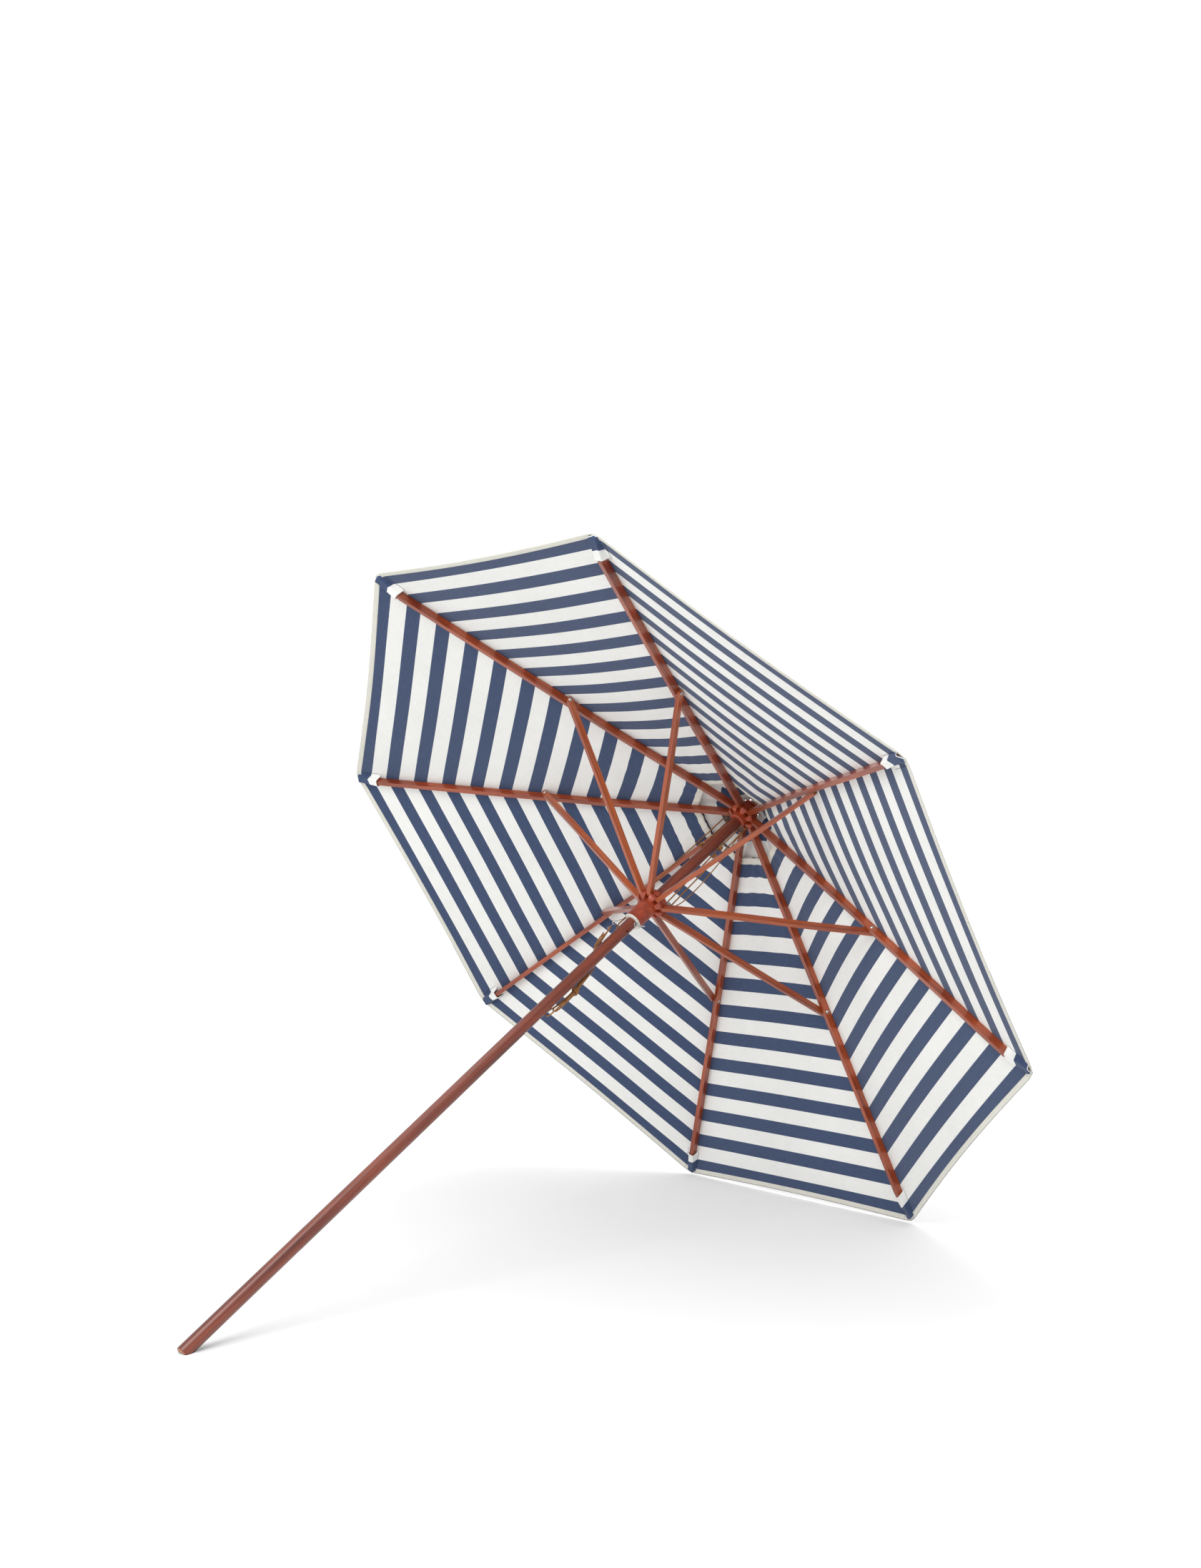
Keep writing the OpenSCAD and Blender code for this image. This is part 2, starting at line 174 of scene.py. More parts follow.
def cord_material():
    """Braided cotton-look cord: matt, with the plait's diagonal ridges, painted shade in the grooves between
    them, and random lighter and darker tone.
    """
    material, tree, shader = new_material("braided_cord_tan")
    place = add(tree, "ShaderNodeUVMap", uv_map="cloth").outputs["UV"]
    turned = add(tree, "ShaderNodeMapping", {"Vector": place, "Rotation": (0, 0, 0.9),
                                             "Scale": (420, 420, 1)}).outputs["Vector"]
    # the plait's ridges: the bump's height, and the mask for the painted shade in the grooves
    one = add(tree, "ShaderNodeTexWave", {"Vector": turned, "Scale": 1.0, "Distortion": 0.6},
              wave_type="BANDS", bands_direction="X").outputs["Fac"]
    noise = add(tree, "ShaderNodeTexNoise", {
        "Vector": add(tree, "ShaderNodeTexCoord").outputs["Object"], "Scale": 60.0,
        "Detail": 4.0}).outputs["Fac"]
    base = ramp(tree, noise, [(0.3, linear("#A56A38")), (0.7, linear("#DDA468"))])
    # darker colour where the bands are low, in the grooves between the ridges: painted shade
    groove_shaded_tone = add(tree, "ShaderNodeMixRGB", {"Fac": one, "Color1": linear("#8E5529"), "Color2": base})
    tree.links.new(groove_shaded_tone.outputs[0], shader.inputs["Base Color"])
    shader.inputs["Roughness"].default_value = 0.85
    tree.links.new(bump(tree, one, 0.0005, 0.8), shader.inputs["Normal"])
    return material


def curve_through(points, spacing):
    """Points at about an even spacing along a smooth line through the given ones."""
    pts = [Vector(p) for p in points]
    pts = [2 * pts[0] - pts[1]] + pts + [2 * pts[-1] - pts[-2]]
    fine = []
    for a, b, c, d in zip(pts, pts[1:], pts[2:], pts[3:]):
        count = max(2, int((c - b).length / spacing) * 4)
        for k in range(count):
            t = k / count
            fine.append(0.5 * (2 * b + (c - a) * t + (2 * a - 5 * b + 4 * c - d) * t ** 2
                               + (3 * b - a - 3 * c + d) * t ** 3))
    fine.append(pts[-2])
    reach = [0.0]
    for p, q in zip(fine, fine[1:]):
        reach.append(reach[-1] + (q - p).length)
    count = max(3, round(reach[-1] / spacing))
    places = np.linspace(0, reach[-1], count + 1)
    return [Vector([float(np.interp(s, reach, [p[k] for p in fine])) for k in range(3)])
            for s in places]


def tube(name, points, diameter, sides=10):
    """A closed round tube along the points, with domed ends."""
    radius = diameter / 2
    rings, uvs, faces = [], [], []
    ahead = [(points[min(k + 1, len(points) - 1)] - points[max(k - 1, 0)]).normalized()
             for k in range(len(points))]
    side = ahead[0].orthogonal().normalized()
    along = 0.0
    stations = [(points[0] - ahead[0] * radius * 0.7, ahead[0], 0.55)]
    stations += [(p, t, 1.0) for p, t in zip(points, ahead)]
    stations += [(points[-1] + ahead[-1] * radius * 0.7, ahead[-1], 0.55)]
    last = stations[0][0]
    for centre, t, share in stations:
        side = (side - t * side.dot(t)).normalized()
        across = t.cross(side)
        along += (centre - last).length
        last = centre
        for j in range(sides):
            a = 2 * math.pi * j / sides
            rings.append(centre + radius * share * (math.cos(a) * side + math.sin(a) * across))
            # the map runs up and back round the cord, so that it closes without a seam
            uvs.append((abs(j / sides - 0.5) * 2 * math.pi * radius, along))
    count = len(stations)
    for k in range(count - 1):
        for j in range(sides):
            m = (j + 1) % sides
            faces.append((k * sides + j, k * sides + m, (k + 1) * sides + m, (k + 1) * sides + j))
    faces.append(tuple(reversed(range(sides))))
    faces.append(tuple((count - 1) * sides + j for j in range(sides)))
    return mesh_piece(name, rings, faces, uvs)


def polar(az, r, z):
    """A point at an azimuth in degrees, a distance from the pole's axis and a height."""
    return Vector((r * math.cos(math.radians(az)), r * math.sin(math.radians(az)), z))


cord_look = cord_material()


def wheel_arc(joint, up, start, end, radius, steps=10):
    """Points on a pulley wheel's groove, from one side to the other, over its top or under it."""
    at = Vector(joints[joint]["pos_m"])
    out = Vector((at.x, at.y, 0)).normalized()
    arc = []
    for k in range(steps + 1):
        a = math.radians(start + (end - start) * k / steps)
        arc.append(at + radius * (math.cos(a) * out + math.sin(a) * Vector((0, 0, 1)) * up))
    return arc


GROOVE_R = 0.0083
upper_1, upper_2 = (Vector(joints[f"wheel_{k}_spin"]["pos_m"]) for k in (1, 2))
lower_3, lower_4 = (Vector(joints[f"wheel_{k}_spin"]["pos_m"]) for k in (3, 4))


def stretch_run(piece):
    """A run of cord between the crown's pulleys and the runner's, with its placing baked into its points."""
    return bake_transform(piece)


# The right-hand tackle: over the upper wheel, under the lower one, and back up to a knot.
knot_z = crown_z - 0.165
out_1 = Vector((upper_1.x, upper_1.y, 0)).normalized()
knot_r = 0.0245
right_route = [out_1 * knot_r + Vector((0, 0, knot_z - 0.006))]
right_route += wheel_arc("wheel_3_spin", 1, 180, 360, GROOVE_R)
right_route += wheel_arc("wheel_1_spin", 1, 0, 180, GROOVE_R)
right_route += [out_1 * knot_r + Vector((0, 0, knot_z + 0.008))]
right_run = tube("cord_right_run", curve_through(right_route, 0.004), CORD_D, 8)
dress(right_run, cord_look)
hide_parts("cord_run_2")
stretch_run(right_run)

# The left-hand run goes over its upper wheel, is knotted beside the pole, and ends under the lower one.
out_2 = Vector((upper_2.x, upper_2.y, 0)).normalized()
left_route = wheel_arc("wheel_4_spin", 1, 180, 360, GROOVE_R)
left_route += wheel_arc("wheel_2_spin", 1, 0, 180, GROOVE_R)
left_route += [out_2 * 0.0225 + Vector((0, 0, upper_2.z - 0.03)),
               out_2 * 0.0225 + Vector((0, 0, crown_z - 0.2))]
left_run = tube("cord_left_run", curve_through(left_route, 0.004), CORD_D, 8)
dress(left_run, cord_look)
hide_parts("cord_run_1")
stretch_run(left_run)


def knot(name, at, size, turns, seed):
    """A tight knot: a short cord wound about itself, with two cut ends."""
    rng = random.Random(seed)
    points = [at + Vector((size * 0.2, -size * 0.3, size * 1.5))]
    for k in range(turns * 8):
        a = 2 * math.pi * k / 8
        wide = size * (0.62 + 0.12 * math.sin(0.9 * a))
        points.append(at + Vector((wide * math.cos(a), wide * math.sin(a),
                                   size * (0.7 - 1.4 * k / (turns * 8))
                                   + rng.uniform(-1, 1) * size * 0.08)))
    points.append(at + Vector((size * 1.1, size * 0.5, -size * 1.5)))
    return dress(tube(name, curve_through(points, 0.0025), CORD_D, 8), cord_look)


# Knots that join the tackle's ends, two on the right and one on the left.
KNOT_SIZE = 0.0085
knots = [knot("knot_right_upper", out_1 * 0.026 + Vector((0, 0, knot_z)), KNOT_SIZE, 3, 1),
         knot("knot_right_lower", out_1 * 0.034 + Vector((0, 0, crown_z - 0.205)), KNOT_SIZE * 0.8, 3, 2),
         knot("knot_left", out_2 * 0.0285 + Vector((0, 0, crown_z - 0.2)), KNOT_SIZE * 0.8, 3, 3)]
for piece in knots:
    stretch_run(piece)

# A slack strand that leaves the right upper wheel and bows away from the pole to the runner.
slack_places = [(106, 0.0445, 0.13), (106, 0.045, 0.2), (105, 0.056, 0.32), (104, 0.068, 0.54),
                (103, 0.074, 0.71), (104, 0.072, 0.85), (108, 0.062, 0.92), (112, 0.054, 0.975)]
slack_route = [polar(az, r, crown_z - share * (crown_z - runner_z)) for az, r, share in slack_places]
slack_line = curve_through(slack_route, 0.008)
slack = tube("cord_slack", slack_line, SLACK_D, 8)
dress(slack, cord_look)
stretch_run(slack)

# The free end: down from the runner, across the back of the pole, then folded into a hank of
# five legs, tied with three turns of its own end.
HANK_TOP = 0.075                        # from the washer down to the hank
HANK_LENGTH = 0.365
FOLD_R = 0.0160                         # radius of the loops at the hank's two ends
TIE_AT = 0.62                           # the tie's place down the hank, from 0 to 1
hank_az = [(0, 300), (0.1, 290), (0.2, 250), (0.3, 203), (0.4, 174), (0.5, 162), (0.7, 150),
           (0.85, 152), (1, 160)]
hank_r = [(0, 0.037), (0.1, 0.031), (0.2, 0.0262), (0.3, 0.0262), (0.4, 0.0275), (0.55, 0.030),
          (0.7, 0.035), (0.85, 0.033), (1, 0.031)]


def along_route(stops, t):
    """A smooth value between the stops at place t."""
    places, values = zip(*stops)
    window = np.linspace(t - 0.04, t + 0.04, 9)
    return float(np.mean(np.interp(window, places, values)))


def hank_spot(t, across, layer):
    """A point in the hank: t runs down it, across it, and layers away from the pole."""
    r = along_route(hank_r, t) + layer
    az = along_route(hank_az, t) + math.degrees(across / r)
    return polar(az, r, washer_z - HANK_TOP - HANK_LENGTH * t)


def ease(x):
    """0 to 1, smoothly."""
    x = min(max(x, 0.0), 1.0)
    return x * x * (3 - 2 * x)


def leg(across, layer, start, end, fold_mid, fold_layers):
    """Points down or up one leg. Near a fold it swings out to the fold's own width and layer."""
    points = []
    steps = max(2, int(abs(end - start) * HANK_LENGTH / 0.011))
    for k in range(steps + 1):
        t = start + (end - start) * k / steps
        loose = ease(abs(t - TIE_AT) / 0.22)
        sway = math.sin(17 * t + 700 * across + 300 * layer)
        side = across * (1 + 0.8 * loose) + 0.0016 * loose * sway
        depth = layer
        for fold_t, mid, lay in zip((start, end), fold_mid, fold_layers):
            if mid is None:
                continue
            near_fold = 1 - ease((abs(t - fold_t) * HANK_LENGTH - 0.004) / 0.06)
            swing = mid + (FOLD_R if across > mid else -FOLD_R)
            side += (swing - side) * near_fold
            depth += (lay - depth) * near_fold
        points.append(hank_spot(t, side, depth))
    return points


def fold(mid, layer, t, down, rightward):
    """The half turn between two legs."""
    points = []
    for k in range(1, 8):
        a = math.pi * k / 8
        across = mid + FOLD_R * math.cos(a) * (-1 if rightward else 1)
        reach = math.sin(a) * FOLD_R / HANK_LENGTH * (1 if down else -1)
        points.append(hank_spot(t + reach, across, layer))
    return points


exit_at = polar(292, 0.025, washer_z)
tail_route = [exit_at, polar(292, 0.0252, washer_z - 0.010), polar(289, 0.0265, washer_z - 0.020),
              polar(279, 0.0275, washer_z - 0.034), polar(258, 0.0262, washer_z - 0.050),
              polar(232, 0.0258, washer_z - 0.066), polar(204, 0.0258, washer_z - 0.082),
              polar(194, 0.026, washer_z - 0.110), polar(186, 0.0265, washer_z - 0.150)]
GAP = 0.0050                            # from one leg's middle to the next one's
tail_route += leg(-GAP, 0.0, 0.34, 0.955, (None, -GAP / 2), (0, 0.0))
tail_route += fold(-GAP / 2, 0.0, 0.955, True, True)
tail_route += leg(0.0, 0.0, 0.955, 0.03, (-GAP / 2, GAP / 2 + 0.001), (0.0, 0.0))
tail_route += fold(GAP / 2 + 0.001, 0.0, 0.03, False, True)
tail_route += leg(GAP, 0.0, 0.03, 0.87, (GAP / 2 + 0.001, 0.0), (0.0, GAP))
tail_route += fold(0.0, GAP, 0.87, True, False)
tail_route += leg(-GAP / 2, GAP, 0.87, 0.11, (0.0, 0.0), (GAP, GAP))
tail_route += fold(0.0, GAP, 0.11, False, True)
tail_route += leg(GAP / 2, GAP, 0.11, TIE_AT - 0.10, (0.0, None), (GAP, GAP))
WRAP_R = 0.0102
WRAP_PITCH = 0.0052
WRAP_START = 2.0                        # the first turn begins at the bundle's side
WRAP_END = 6 * math.pi
WRAP_STEPS = 22


def tie_spot(x, y, down):
    """A point about the tie's middle: across the hank, away from the pole, and down it."""
    return hank_spot(TIE_AT + down / HANK_LENGTH, x, GAP / 2 + 0.0008 + y)


# the end comes out of the bundle, takes three close turns about it and hangs free
tail_route += [tie_spot(0.0048, 0.0035, -0.027), tie_spot(0.0080, 0.0055, -0.018),
               tie_spot(0.0100, 0.0052, -0.0095), tie_spot(0.0106, 0.0022, -0.0035)]
for k in range(WRAP_STEPS + 1):
    a = WRAP_START + (WRAP_END - WRAP_START) * k / WRAP_STEPS
    tail_route.append(tie_spot(WRAP_R * math.sin(a), WRAP_R * math.cos(a),
                               WRAP_PITCH * (a - WRAP_START) / (2 * math.pi)))
tail_route += [tie_spot(0.0075, 0.0098, 0.0165), tie_spot(0.0125, 0.0082, 0.0225),
               tie_spot(0.0145, 0.0070, 0.0320), tie_spot(0.0160, 0.0060, 0.0450)]
tail_line = curve_through(tail_route, 0.0045)
tail = tube("cord_tail_and_hank", tail_line, CORD_D, 8)
dress(tail, cord_look)
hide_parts("cord_tail", "cord_hank")
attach(tail, "runner")


# ---- Wood: pole, finial, hubs, ribs and struts ----
# Turned and sawn hardwood, stained mahogany and varnished. The frame's own solids are right, so
# they stay; the grain follows each stick.
def wood_material(name, light, dark, turn, grain=1.0, rough=0.42, coat=0.25):
    """Stained, varnished wood: streaks along the stick, broad random tone and open pores."""
    material, tree, shader = new_material(name)
    place = add(tree, "ShaderNodeTexCoord").outputs["Object"]
    along = add(tree, "ShaderNodeMapping", {"Vector": place, "Rotation": turn},
                vector_type="TEXTURE").outputs["Vector"]
    drawn = add(tree, "ShaderNodeMapping", {"Vector": along, "Scale": (2.2, 60, 60)}).outputs["Vector"]
    streaks = add(tree, "ShaderNodeTexNoise", {"Vector": drawn, "Scale": 1.0 * grain, "Detail": 6.0,
                                               "Roughness": 0.62, "Distortion": 0.5}).outputs["Fac"]
    broad = add(tree, "ShaderNodeTexNoise", {"Vector": along, "Scale": 3.5, "Detail": 2.0}).outputs["Fac"]
    pores = add(tree, "ShaderNodeTexNoise", {
        "Vector": add(tree, "ShaderNodeMapping", {"Vector": along, "Scale": (45, 900, 900)}
                      ).outputs["Vector"], "Scale": 1.0, "Detail": 3.0}).outputs["Fac"]
    tone = ramp(tree, streaks, [(0.32, linear(dark)), (0.5, [(a + b) / 2 for a, b in
                                                            zip(linear(dark), linear(light))]),
                                (0.7, linear(light))])
    shade = add(tree, "ShaderNodeMapRange", {"Value": broad, "From Min": 0.3, "From Max": 0.7,
                                             "To Min": 0.86, "To Max": 1.12}).outputs["Result"]
    toned = add(tree, "ShaderNodeVectorMath", {0: tone, "Scale": shade}, operation="SCALE").outputs[0]
    pore_mask = ramp(tree, pores, [(0.30, (0.55, 0.55, 0.55, 1)), (0.42, (1, 1, 1, 1))])
    final = add(tree, "ShaderNodeVectorMath", {0: toned, 1: pore_mask}, operation="MULTIPLY").outputs[0]
    tree.links.new(final, shader.inputs["Base Color"])
    shader.inputs["Roughness"].default_value = rough
    shader.inputs["Coat Weight"].default_value = coat
    shader.inputs["Coat Roughness"].default_value = 0.3
    tree.links.new(bump(tree, pores, 0.0002, 0.35, bump(tree, streaks, 0.0004, 0.3)),
                   shader.inputs["Normal"])
    return material


nodes = frame["nodes"]
UPRIGHT = (0, math.radians(90), 0)
pole_wood = wood_material("dark_mahogany_stained_pole", "#924228", "#581F12", UPRIGHT, 1.0, 0.30, 0.45)
dress(nodes["pole"], pole_wood)
hub_wood = wood_material("mahogany_turned_hub", "#B24824", "#842E17", (0, 0, 0), 0.6, 0.34, 0.4)
for name in ("finial", "crown_hub", "runner_hub"):
    dress(nodes[name], hub_wood)
for i in RIBS:
    spoke = SECTOR * (i - 1)
    dress(nodes[f"rib_{i}"],
          wood_material(f"mahogany_rib_{i}", "#B85426", "#702710", (0, slope, spoke), 1.0, 0.28, 0.6))
    dress(nodes[f"strut_{i}"],
          wood_material(f"mahogany_strut_{i}", "#C66128", "#7E2C10", (0, -slope, spoke), 1.1, 0.28, 0.6))


def foot_grain_material():
    """The pole's cut end: pale open end grain with rings, darker where the stain has crept in."""
    material, tree, shader = new_material("end_grain_pale")
    place = add(tree, "ShaderNodeTexCoord").outputs["Object"]
    rings = add(tree, "ShaderNodeTexWave", {
        "Vector": add(tree, "ShaderNodeMapping", {"Vector": place, "Location": (0.03, 0.01, 0)}
                      ).outputs["Vector"], "Scale": 140.0, "Distortion": 3.0, "Detail": 2.0},
        wave_type="RINGS", rings_direction="Z").outputs["Fac"]
    tree.links.new(ramp(tree, rings, [(0.2, linear("#A87058")), (0.8, linear("#D0A488"))]),
                   shader.inputs["Base Color"])
    shader.inputs["Roughness"].default_value = 0.8
    return material


def disc(name, radius, z, thick, rim):
    """A thin round plate with a small rounded rim."""
    profile = [(0, 0), (radius - rim, 0), (radius, rim), (radius, thick), (0, thick)]
    return turned(name, profile, 48, z)


def turned(name, profile, sides, z=0.0):
    """A solid of revolution about the pole's axis; the profile runs from axis to axis."""
    points, faces = [], []
    inner = profile[1:-1]
    for r, h in inner:
        for j in range(sides):
            a = 2 * math.pi * j / sides
            points.append((r * math.cos(a), r * math.sin(a), z + h))
    for k in range(len(inner) - 1):
        for j in range(sides):
            m = (j + 1) % sides
            faces.append((k * sides + j, k * sides + m, (k + 1) * sides + m, (k + 1) * sides + j))
    low, high = len(points), len(points) + 1
    points += [(0, 0, z + profile[0][1]), (0, 0, z + profile[-1][1])]
    last = (len(inner) - 1) * sides
    for j in range(sides):
        m = (j + 1) % sides
        faces.append((low, m, j))
        faces.append((high, last + j, last + m))
    return mesh_piece(name, points, faces)


end_grain = dress(disc("pole_end_grain", 0.0172, -0.0004, 0.0008, 0.0003), foot_grain_material())
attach(end_grain, "pole")


# ---- Metal and plastic fittings ----
def metal_material(name, colour, rough, scratch):
    """Plated or drawn steel: clean reflections broken by fine scratches and dull patches."""
    material, tree, shader = new_material(name)
    place = add(tree, "ShaderNodeTexCoord").outputs["Object"]
    patches = add(tree, "ShaderNodeTexNoise", {"Vector": place, "Scale": 180.0, "Detail": 3.0}).outputs["Fac"]
    fine = add(tree, "ShaderNodeTexNoise", {
        "Vector": add(tree, "ShaderNodeMapping", {"Vector": place, "Scale": (300, 2600, 1200)}
                      ).outputs["Vector"], "Scale": 1.0, "Detail": 2.0}).outputs["Fac"]
    base = linear(colour)
    tree.links.new(ramp(tree, patches, [(0.35, [c * 0.8 for c in base[:3]] + [1]), (0.65, base)]),
                   shader.inputs["Base Color"])
    shader.inputs["Metallic"].default_value = 1.0
    tree.links.new(add(tree, "ShaderNodeMapRange", {"Value": patches, "To Min": rough * 0.7,
                                                    "To Max": rough * 1.4}).outputs["Result"],
                   shader.inputs["Roughness"])
    tree.links.new(bump(tree, fine, 0.00005, scratch), shader.inputs["Normal"])
    return material


chrome = metal_material("chromed_steel_bright", "#D6D6D4", 0.16, 0.15)
zinc = metal_material("zinc_plated_pulley_dull", "#B0AFA8", 0.38, 0.5)
wire = metal_material("drawn_wire_dark", "#5A5450", 0.45, 0.4)


def plastic_material(name, light, dark, rough):
    """Moulded plastic: faint mottling, and dust settled in the dull skin."""
    material, tree, shader = new_material(name)
    place = add(tree, "ShaderNodeTexCoord").outputs["Object"]
    mottle = add(tree, "ShaderNodeTexNoise", {"Vector": place, "Scale": 90.0, "Detail": 5.0}).outputs["Fac"]
    tree.links.new(ramp(tree, mottle, [(0.35, linear(dark)), (0.6, linear(light))]),
                   shader.inputs["Base Color"])
    shader.inputs["Roughness"].default_value = rough
    tree.links.new(bump(tree, mottle, 0.0001, 0.4), shader.inputs["Normal"])
    return material


dress(nodes["runner_washer"], plastic_material("moulded_washer_white", "#EDECE6", "#D9D7CE", 0.45))
dress(nodes["lock_pin"], chrome)
for name in ("crown_wire", "runner_wire"):
    dress(nodes[name], wire)
wheel_plastic = plastic_material("moulded_wheel_dark", "#4A4541", "#332F2C", 0.5)
for k in range(1, 5):
    dress(nodes[f"pulley_{k}"], zinc)
    dress(nodes[f"sheave_{k}"], wheel_plastic)
for i in RIBS:
    dress(nodes[f"bolt_{i}"], chrome)


def ring_of_wire(name, centre, normal, radius, thick):
    """A ring bent from round wire."""
    n = Vector(normal).normalized()
    u = n.orthogonal().normalized()
    w = n.cross(u)
    count = 28
    pts = [Vector(centre) + radius * (math.cos(2 * math.pi * k / count) * u
                                      + math.sin(2 * math.pi * k / count) * w)
           for k in range(count + 1)]
    return tube(name, pts, thick, 8)


# Small wire rings and a hook that join the cords: under the crown, and at the hank's top.
hook_at = polar(300, 0.0375, washer_z - 0.045)
RING_WIRE_D = 0.0016
HANK_WIRE_D = 0.0018
right_ring_at = out_1 * 0.026 + Vector((0, 0, knot_z + 0.016))
left_ring_at = out_2 * 0.0285 + Vector((0, 0, crown_z - 0.187))
hook_route = [polar(300, 0.027, washer_z - 0.0005), polar(300, 0.028, washer_z - 0.015),
              hook_at + Vector((0, 0, 0.006)), hook_at + Vector((0, 0, -0.012)),
              polar(300, 0.0385, washer_z - 0.068), polar(302, 0.0375, washer_z - HANK_TOP - 0.005),
              polar(304, 0.0415, washer_z - HANK_TOP + 0.002)]
small_metal = [
    (ring_of_wire("ring_right", right_ring_at, (1, 0.4, 0.1), 0.006, RING_WIRE_D), None),
    (ring_of_wire("ring_left", left_ring_at, (1, 0.2, 0.3), 0.005, RING_WIRE_D), None),
    (ring_of_wire("hank_ring", hook_at, (0.6, 0.7, 0.2), 0.0075, HANK_WIRE_D), "runner"),
    (tube("hank_hook", curve_through(hook_route, 0.003), HANK_WIRE_D, 8), "runner")]
for piece, body in small_metal:
    dress(piece, chrome)
    if body:
        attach(piece, body)
    else:
        stretch_run(piece)


# ---- Canopy ----
# Woven cotton-look cloth, eight gores seamed over the ribs, blue and white stripes parallel to the
# hem. Each piece is one rib's share, half a gore to each side; the pieces meet at the gores' middles.
HALF = SECTOR / 2
VENT_R = 0.162                          # radius of the open vent, at the ribs
CAP_R = 0.330                           # radius of the vent cap's hem
CAP_IN_R = 0.036                        # radius of the cap's hole round the pole
COS_HALF = math.cos(HALF)
gore_slope = math.atan(math.tan(slope) / COS_HALF)
RIB_H = 0.024
RIB_W = 0.015
CLOTH_T = 0.0011


def rib_top(rho):
    """Height of the cloth's underside where it lies over a rib."""
    return (crown_z - (rho - pivot_r) * math.tan(slope) + RIB_H / 2 / math.cos(slope)
            + 0.0003 + RIB_W * math.tan(HALF) * math.tan(slope))


def ripple(gore, layer, a, b, count=5):
    """A smooth repeatable unevenness between -1 and 1 that belongs to one gore."""
    rng = random.Random(1000 * layer + gore)
    total = 0.0
    for _ in range(count):
        fa, fb = rng.uniform(0.4, 1.0), rng.uniform(0.4, 1.0)
        sign = rng.choice((-1, 1))
        total += math.sin(2 * math.pi * (fa * a + sign * fb * b) + rng.uniform(0, 6.28))
    return total / count


def cloth_spot(gore, g, rho, cap=False):
    """A point of the cloth's underside and its place in the cut cloth.

    g runs across the gore from one rib to the next; rho is the radius at which a rib is as high."""
    u = min(g, 1 - g) * 2                  # 0 at a seam, 1 in the gore's middle
    mid = 4 * g * (1 - g)                  # the same, but round in the middle
    az = SECTOR * gore + SECTOR * g
    out = rho * COS_HALF / math.cos(HALF * (1 - u))
    share = (rho - CAP_IN_R) / (CAP_R - CAP_IN_R) if cap else (rho - VENT_R) / (corner_r - VENT_R)
    dip = (0.004 if cap else 0.012 * ease(share * 1.4 - 0.4)) * mid
    from_seam = u * rho * math.sin(HALF)
    rounding = 0.0045 * (1 - ease(from_seam / 0.028)) * ease((share - 0.94) / 0.06)
    out -= dip + (0.0 if cap else rounding)
    if cap:
        top = crown_z + 0.054
        z = top + (rib_top(CAP_R) + 0.005 - top) * share
    else:
        z = rib_top(rho)
    z -= 0.0045 * math.sin(math.pi * min(share * 0.85 + 0.15, 1.0)) * mid
    # gathers in the seam: short puckers square to it, worst near the vent
    gather = math.exp(-from_seam / 0.020) * (0.3 + 1.2 * math.exp(-share / 0.22))
    z += 0.0020 * gather * ripple(gore, 3, rho * 24, g * 3) * ease(from_seam / 0.006)
    crumple = math.exp(-share / 0.14) if not cap else 0.6
    z += 0.0032 * crumple * ripple(gore, 5, g * 4.5, rho * 3.0) * ease(u * 2.5)
    z += 0.0012 * ripple(gore, 6, g * 1.8, rho * 1.6) * ease(u * 2)
    down = (corner_r - rho if not cap else CAP_R - rho) * COS_HALF / math.cos(gore_slope)
    wander = 0.0040 * gather * ripple(gore, 7, rho * 26, g * 2) * ease(share * 6)
    wander += 0.0022 * crumple * ripple(gore, 8, g * 6, rho * 4) * ease(u * 3)
    bow = dip - 0.006 * mid if not cap else 0.0
    return Vector((out * math.cos(az), out * math.sin(az), z)), \
        ((g - 0.5) * 2 * rho * math.sin(HALF), down + wander + bow)


def across_places(count):
    """Places across a piece, closer beside the seam; a narrow last strip keeps its edges crisp."""
    ks = [math.copysign(abs(k / count) ** 1.5, k) for k in range(1 - count, count)]
    return [-1.0008, -0.999] + ks + [0.999, 1.0008]


def sheet_mesh(name, columns, rows, place, thick, lift=0.0):
    """A thin closed sheet: place(row, column) gives a point of its underside and its map place."""
    points, uvs = [], []
    for layer in (0, 1):
        for row in rows:
            for column in columns:
                p, uv = place(row, column)
                points.append(p + Vector((0, 0, lift + thick * layer)))
                uvs.append(uv)
    n, m = len(columns), len(rows)
    size = n * m
    faces = []
    for row in range(m - 1):
        for k in range(n - 1):
            a = row * n + k
            b, c, d = a + 1, a + n + 1, a + n
            faces.append((a, b, c, d))
            faces.append((size + a, size + d, size + c, size + b))
    rim = len(faces)
    for row in range(m - 1):
        for k, last in ((0, False), (n - 1, True)):
            a, d = row * n + k, (row + 1) * n + k
            quad = (a, d, size + d, size + a)
            faces.append(tuple(reversed(quad)) if last else quad)
    for k in range(n - 1):
        for row, last in ((0, False), (m - 1, True)):
            a, b = row * n + k, row * n + k + 1
            quad = (a, size + a, size + b, b)
            faces.append(tuple(reversed(quad)) if last else quad)
    return mesh_piece(name, points, faces, uvs, walls=len(faces) - rim)


def cloth_piece(name, i, rho_low, rho_high, rows, cols, thick, spot, lift=0.0):
    """A thin closed sheet over rib i between two radii."""
    def place(rho, u):
        gore, g = ((i - 2) % 8, 1 + u / 2) if u < 0 else ((i - 1) % 8, u / 2)
        return spot(gore, g, rho)
    radii = [rho_low + (rho_high - rho_low) * k / rows for k in range(rows + 1)]
    return sheet_mesh(name, across_places(cols), radii, place, thick, lift)


PERIOD = 0.1016                         # one blue and one white stripe
BLUE_W = 0.0472                         # a blue stripe's width
FIRST_BLUE = 0.0095                     # from the hem to the first blue stripe
YARN = 0.0011                           # one yarn's repeat in the weave


